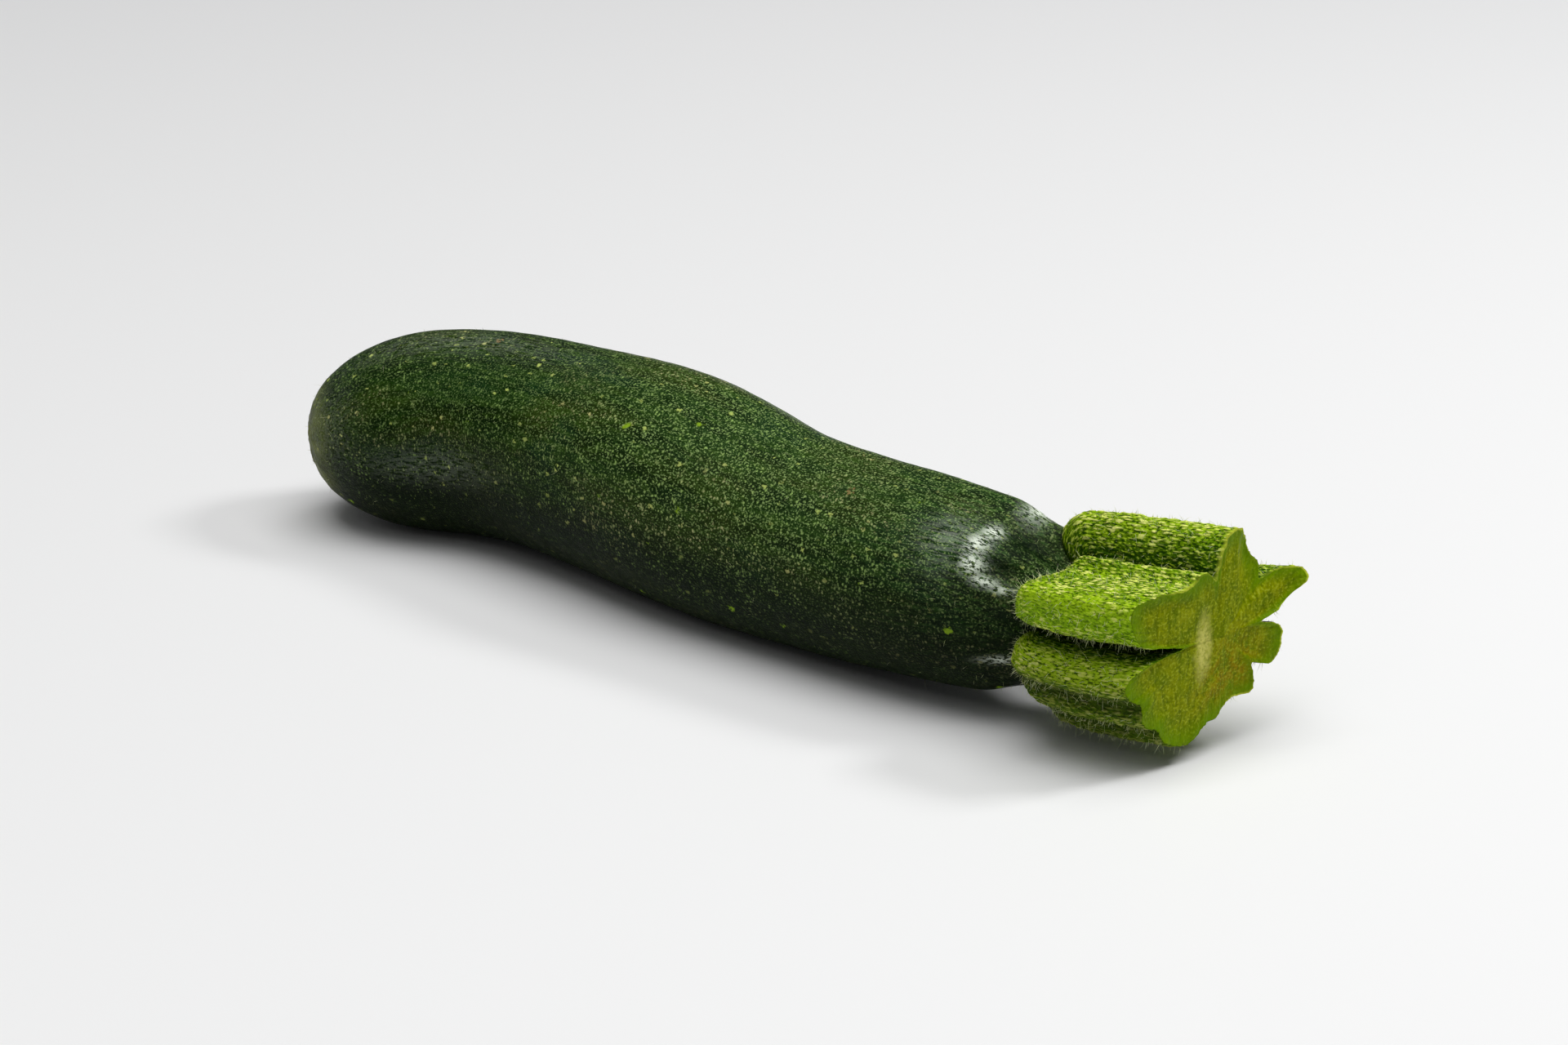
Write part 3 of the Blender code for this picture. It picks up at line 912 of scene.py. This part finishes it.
class SkinShader(Shader):
    """The skin's nodes, with the patterns that several of its layers follow."""

    def __init__(self):
        super().__init__("skin")
        self.place = self.rest()
        self.station = self.part_of(self.place, "X")
        self.upward = self.part_of(self.place, "Z")
        self.ahead = self.between(self.station, 35.0, 100.0)
        self.neck = self.between(self.station, 118.0, 158.0)
        self.corky = self.stored("corky")
        self.slow = self.noise(self.place, 9, 3, along=0.25)
        self.bands = self.noise(self.place, 4.2, 3, 0.55, along=0.09)
        self.rows = self.noise(self.place, 1.0, along=0.22)
        self.grit = self.noise(self.place, 0.32, 1, along=0.8)


def skin_ground(s):
    """Greens in bands and rows along the fruit, darker at the blossom end, with painted shade on the
    underside.
    """
    cool = s.noise(s.moved(s.place, (40, 9, 2)), 9, along=0.4)
    lines = s.noise(s.place, 0.6, 3, 0.65, along=0.1)
    pale_grit = s.between(s.grit, 0.54, 0.68)
    pale_grit = s.times(pale_grit, s.between(s.ahead, 0.0, 1.0, start=0.6))
    dark_lines = s.times(s.between(lines, 0.51, 0.38, 0.85), s.neck)
    light_lines = s.times(s.between(lines, 0.54, 0.66, 0.65), s.neck)
    return s.painted(
        s.mix(s.between(s.bands, 0.36, 0.62), (9, 31, 2), (30, 59, 14)),
        (s.slow, 0.44, 0.62, 0.6, (54, 70, 12)),
        (cool, 0.50, 0.66, 0.6, (16, 52, 28)),
        (s.station, 20.0, 120.0, 0.07, (104, 132, 84)),
        (s.rows, 0.50, 0.66, 0.4, (62, 92, 28)),
        (s.rows, 0.48, 0.34, 0.4, (12, 28, 2)),
        (pale_grit, (124, 148, 88)),
        (s.grit, 0.50, 0.32, 0.5, (4, 14, 0)),
        (s.station, 80.0, 10.0, 0.28, (4, 22, 0)),
        (dark_lines, (4, 18, 2)),
        (light_lines, (64, 104, 42)),
        # Painted shade: the underside darkened
        (s.upward, 12.0, -7.0, 0.88, (2, 12, 0)),
    )


def skin_speckles(s, base):
    """Lays small speckles, flecks, large spots and tan ones over it. Gives two of them back too."""
    place = s.place
    patchy = s.between(s.noise(place, 6, 3), 0.36, 0.60, start=0.5)
    # Speckles thin out on the underside, under its painted shade
    patchy = s.times(patchy, s.between(s.upward, -10.0, 6.0, start=0.25))
    in_rows = s.times(
        patchy,
        s.between(s.rows, 0.38, 0.54, start=0.5),
        s.between(s.ahead, 0.0, 1.0, start=0.6),
        s.between(s.neck, 0.0, 1.0, 0.5, start=1.0),
    )
    loose = s.shaken(place, 0.4, 0.55)
    strokes = s.stretched(s.moved(loose, (8, 13, 21)), (1.5, 0.8, 0.8))
    speckle = s.spots(loose, 0.68, 0.34, 0.6, 0.1)
    speckle = s.larger(speckle, s.spots(strokes, 0.96, 0.40, 0.6, 0.3))
    dashes = s.stretched(s.moved(s.shaken(place, 0.6, 1.3), (31, 7, 3)), (0.7, 1, 1))
    fleck = s.times(s.spots(dashes, 1.8, 0.50, 0.5, 0.36), patchy)
    fleck = s.times(fleck, s.between(s.ahead, 0.0, 1.0, 0.75, start=1.0))
    large = s.spots(s.moved(s.shaken(place, 0.9, 2.2), (5, 53, 11)), 5.6, 0.95, 0.5, 0.45)
    tan = s.spots(s.moved(s.shaken(place, 1.1, 1.8), (3, 17, 71)), 10.0, 1.1, 0.35, 0.45)
    tan = s.times(tan, s.between(s.noise(place, 0.7), 0.38, 0.62), 0.8)
    olive = s.between(s.slow, 0.46, 0.64)
    base = s.painted(
        base,
        (s.times(speckle, in_rows, 0.85), s.mix(olive, (156, 188, 104), (184, 184, 130))),
        (fleck, s.mix(olive, (190, 208, 108), (192, 190, 124))),
        (s.times(large, 0.9), (138, 174, 36)),
        (tan, (150, 124, 80)),
    )
    return base, fleck, large


def skin_marks(s, base):
    """The paler skin round the scar, the painted shade and painted highlights on the neck and body,
    and the cork.
    """
    halo = s.between(s.station, 6.0, 0.3)
    halo = s.times(halo, s.between(s.bands, 0.3, 0.7, 0.8, start=0.25))
    # Lengthwise streaks that break up the painted highlights
    down = s.between(s.noise(s.place, 0.44, 3, 0.75, along=0.14), 0.43, 0.53)
    bark = s.noise(s.place, 0.8, 4, 0.7)
    return s.painted(
        base,
        (halo, (118, 126, 58)),
        # Painted shade in the neck's hollows and along the lower body
        (s.times(s.stored("shade"), 0.85), (6, 22, 4)),
        # Painted highlights and painted reflections, in streaks
        (s.times(s.stored("painted_highlight"), down), (236, 246, 228)),
        (s.corky, s.mix(bark, (96, 72, 42), (206, 186, 142))),
    )


def skin_material():
    """Dark green waxy skin with speckles of several sizes in it, and the corky scar at its end."""
    s = SkinShader()
    base, fleck, large = skin_speckles(s, skin_ground(s))
    bark = s.times(s.corky, s.noise(s.place, 0.5, 3))
    normal = s.bumped(
        (s.grit, 0.16),
        (s.noise(s.place, 1.7), 0.12),
        (s.rows, 0.08),
        (s.larger(fleck, large), 0.03),
        (bark, 0.2),
    )
    rough = s.between(s.noise(s.place, 2.2, 3), 0.3, 0.7, 0.46, start=0.32)
    rough = s.plus(rough, s.times(s.larger(fleck, s.corky), 0.3))
    return s.finish(skin_marks(s, base), rough, SKIN_SHINE, normal)


def rind_material():
    """The stem's rind: green, darker in the grooves, under pale grains; painted light and shade on its
    lobes and painted shade below.
    """
    s = Shader("rind")
    place = s.rest()
    grain, crest, flank, painted_light_and_shade, bright = map(s.stored, ("grain", "crest", "flank", "painted_light_and_shade", "bright"))
    tone = s.noise(place, 4.5, 3, 0.6)
    rows = s.noise(place, 0.9, along=0.14)
    fine = s.noise(place, 0.36, 2, 0.6, along=0.5)
    hollow = s.noise(s.moved(place, (7, 3, 5)), 1.2, along=0.5)
    calm = s.between(flank, 0.2, 0.9, 0.65, start=1.0)
    cells = s.stretched(s.moved(s.shaken(place, 0.5, 0.6), (9, 4, 30)), (0.36, 1, 1))
    small = s.times(
        s.spots(cells, 0.66, 0.37, 0.4, 0.2),
        s.between(crest, 0.0, 0.8, 0.9, start=0.3),
        s.between(flank, 0.2, 0.8, 0.6, start=1.0),
    )
    top = s.times(
        s.between(grain, 0.20, 0.60),
        s.between(s.noise(place, 1.1, along=0.6), 0.38, 0.56, start=0.25),
        s.between(crest, 0.0, 0.85, start=0.4),
    )
    rim = s.times(s.between(s.stored("to_rim"), 0.9, 0.1, 0.75), bright)
    groove = s.mix(s.between(rows, 0.36, 0.64), (22, 50, 0), (58, 102, 2))
    lobe = s.mix(s.between(tone, 0.34, 0.66), (98, 142, 0), (136, 174, 4))
    lobe = s.mix(s.between(rows, 0.50, 0.64, 0.7), lobe, (54, 94, 0))
    pale = s.mix(s.between(tone, 0.3, 0.7), (222, 238, 92), (252, 255, 146))
    base = s.painted(
        s.mix(s.between(crest, 0.15, 0.85), groove, lobe),
        (hollow, 0.48, 0.36, 0.6, (46, 84, 0)),
        (s.times(flank, 0.6), (122, 168, 2)),
        # Painted light on the ridges
        (painted_light_and_shade, 0.0, 1.0, 0.7, (184, 220, 30)),
        (s.times(s.between(fine, 0.51, 0.37, 0.95), calm), (28, 60, 0)),
        (s.times(s.between(fine, 0.55, 0.66, 0.75), calm), (198, 224, 62)),
        (s.times(small, 0.9), pale),
        (top, pale),
        # Painted shade on the stem's lower side
        (s.part_of(place, "Z"), -5.0, -16.0, 0.6, (44, 60, 0)),
        # Painted shade in the furrows
        (painted_light_and_shade, 0.0, -1.0, 0.8, (34, 52, 0)),
        (rim, (190, 202, 60)),
        (s.stored("from_foot"), 1.6, 0.0, 0.65, (40, 74, 4)),
    )
    normal = s.bumped((fine, 0.16), (rows, 0.20), (s.larger(grain, small), 0.15))
    rough = s.between(grain, 0.0, 1.0, 0.42, start=0.56)
    return s.finish(base, rough, RIND_SHINE, normal)


def cut_material():
    """The knife's cut: moist olive flesh with a pale streak of pith, brown stains and bright edges."""
    s = Shader("cut_flesh")
    place = s.rest()
    inward = s.stored("inward")
    tone = s.noise(place, 4.0, 4, 0.6)
    grit = s.noise(place, 0.5, 1)
    streaks = s.noise(s.stretched(s.shaken(place, 3.0, 1.5), (1, 0.22, 1)), 0.8, 3, 0.6)
    stain = s.times(
        s.between(s.distance(place, STAIN_PLACE), 12.0, 1.0),
        s.between(s.noise(place, 2.4, 4, 0.7), 0.36, 0.6),
        0.7,
    )
    round_pith = s.stretched(s.moved(s.shaken(place, 2.0, 2.0), PITH_OFFSET), PITH_SQUEEZE)
    pith = s.times(
        s.between(s.distance(round_pith), 2.5, 0.5),
        s.between(s.noise(place, 0.8, 3, 0.6), 0.34, 0.58, start=0.45),
        0.9,
    )
    border = s.times(s.between(inward, 5.0, 0.3, 0.85), s.between(tone, 0.3, 0.6, start=0.5))
    base = s.painted(
        s.mix(s.between(tone, 0.36, 0.64), (106, 126, 0), (138, 148, 0)),
        (stain, (158, 124, 2)),
        (streaks, 0.50, 0.66, 0.4, (160, 170, 34)),
        (streaks, 0.50, 0.36, 0.45, (80, 98, 0)),
        (grit, 0.54, 0.68, 0.55, (172, 184, 50)),
        (grit, 0.46, 0.34, 0.35, (76, 92, 0)),
        (pith, (212, 208, 108)),
        (border, (96, 136, 0)),
        (s.times(s.between(inward, 0.5, 0.1), s.stored("bright")), (196, 206, 64)),
    )
    normal = s.bumped((grit, 0.10), (streaks, 0.22))
    rough = s.between(s.noise(place, 2.0, 3), 0.35, 0.65, 0.5, start=0.34)
    return s.finish(base, rough, CUT_SHINE, normal)


def hair_material():
    """Stiff pale hairs, greener at the root."""
    s = Shader("hair")
    up = s.stored("up")
    tone = s.stored("tone")
    root = s.mix(tone, (168, 192, 96), (196, 206, 130))
    tip = s.mix(tone, (228, 230, 176), (246, 244, 220))
    return s.finish(s.mix(up, root, tip), s.between(up, 0.0, 1.0, 0.42, start=0.6))


def floor_material():
    """Pale matte floor, a little greyer far off, as painted fall-off of the light."""
    s = Shader("floor")
    far = s.distance(s.node("ShaderNodeTexCoord", {}, "Object"))
    # Painted fall-off of light: greyer with distance from the middle
    base = s.mix(s.between(far, 0.25, 1.1), (244, 244, 244), (234, 235, 238))
    return s.finish(base, FLOOR_ROUGHNESS, FLOOR_SHINE)


def direction(turn, rise):
    """The unit vector towards a turn round +Z from -Y, and a rise above the horizon, in degrees."""
    a, e = math.radians(turn), math.radians(rise)
    return Vector((math.sin(a) * math.cos(e), -math.cos(a) * math.cos(e), math.sin(e)))


def add_object(name, data, place, back):
    made = bpy.data.objects.new(name, data)
    made.location = place
    made.rotation_mode = "QUATERNION"
    made.rotation_quaternion = back.to_track_quat("Z", "Y")
    bpy.context.scene.collection.objects.link(made)
    return made


def add_camera():
    back = direction(CAMERA_TURN, CAMERA_RISE)
    data = bpy.data.cameras.new("camera")
    data.lens = LENS
    data.sensor_width = SENSOR
    data.clip_start, data.clip_end = CAMERA_CLIP
    bpy.context.scene.camera = add_object("camera", data, CAMERA_AIM + CAMERA_DISTANCE * back, back)


def add_studio():
    for name, turn, rise, distance, size, watts in SOFTBOXES:
        data = bpy.data.lights.new(name, "AREA")
        data.shape = "RECTANGLE"
        data.size, data.size_y = size
        data.energy = watts
        towards = direction(turn, rise)
        add_object(name, data, CAMERA_AIM + distance * towards, towards)
    world = bpy.data.worlds.new("studio")
    world.use_nodes = True
    sky = world.node_tree.nodes["Background"]
    sky.inputs["Color"].default_value = (*STUDIO, 1.0)
    sky.inputs["Strength"].default_value = STUDIO_STRENGTH
    bpy.context.scene.world = world
    bpy.context.scene.view_settings.view_transform = "Standard"


def add_floor():
    corners = np.array([(-1, -1, 0), (1, -1, 0), (1, 1, 0), (-1, 1, 0)]) * FLOOR_SIZE / 2
    floor = mesh_object("floor", corners, [[0, 1, 2, 3]])
    floor.data.materials.append(floor_material())


def fruit_hair_weight(points, station):
    """How thick hairs grow on the fruit: most before the stem, some at the blossom, none below."""
    neck = bell((station - STEM_START + NECK_HAIRS_BACK) / NECK_HAIRS_SPREAD)
    blossom = BLOSSOM_HAIRS * bell(station / BLOSSOM_HAIRS_SPREAD)
    grown = (station < STEM_START - FRUIT_HAIRS_END) * (points[..., 2] > FRUIT_HAIRS_ABOVE)
    return (neck + BODY_HAIRS + blossom) * grown


def build():
    draw = np.random.default_rng(SEED)
    fruit, fruit_out, station, origin = make_fruit()
    stem, stem_out, from_foot, crest = make_stem(origin)
    weight = within((STEM_HAIRS_IN_GROOVES, 1), crest) * smooth_step(from_foot / STEM_HAIRS_RISE)
    make_hairs("stem_hairs", "stem", stem, stem_out, weight, STEM_HAIRS, draw)
    weight = fruit_hair_weight(fruit, station)
    make_hairs("fruit_hairs", "skin", fruit, fruit_out, weight, FRUIT_HAIRS, draw)
    add_floor()
    add_studio()
    add_camera()


build()
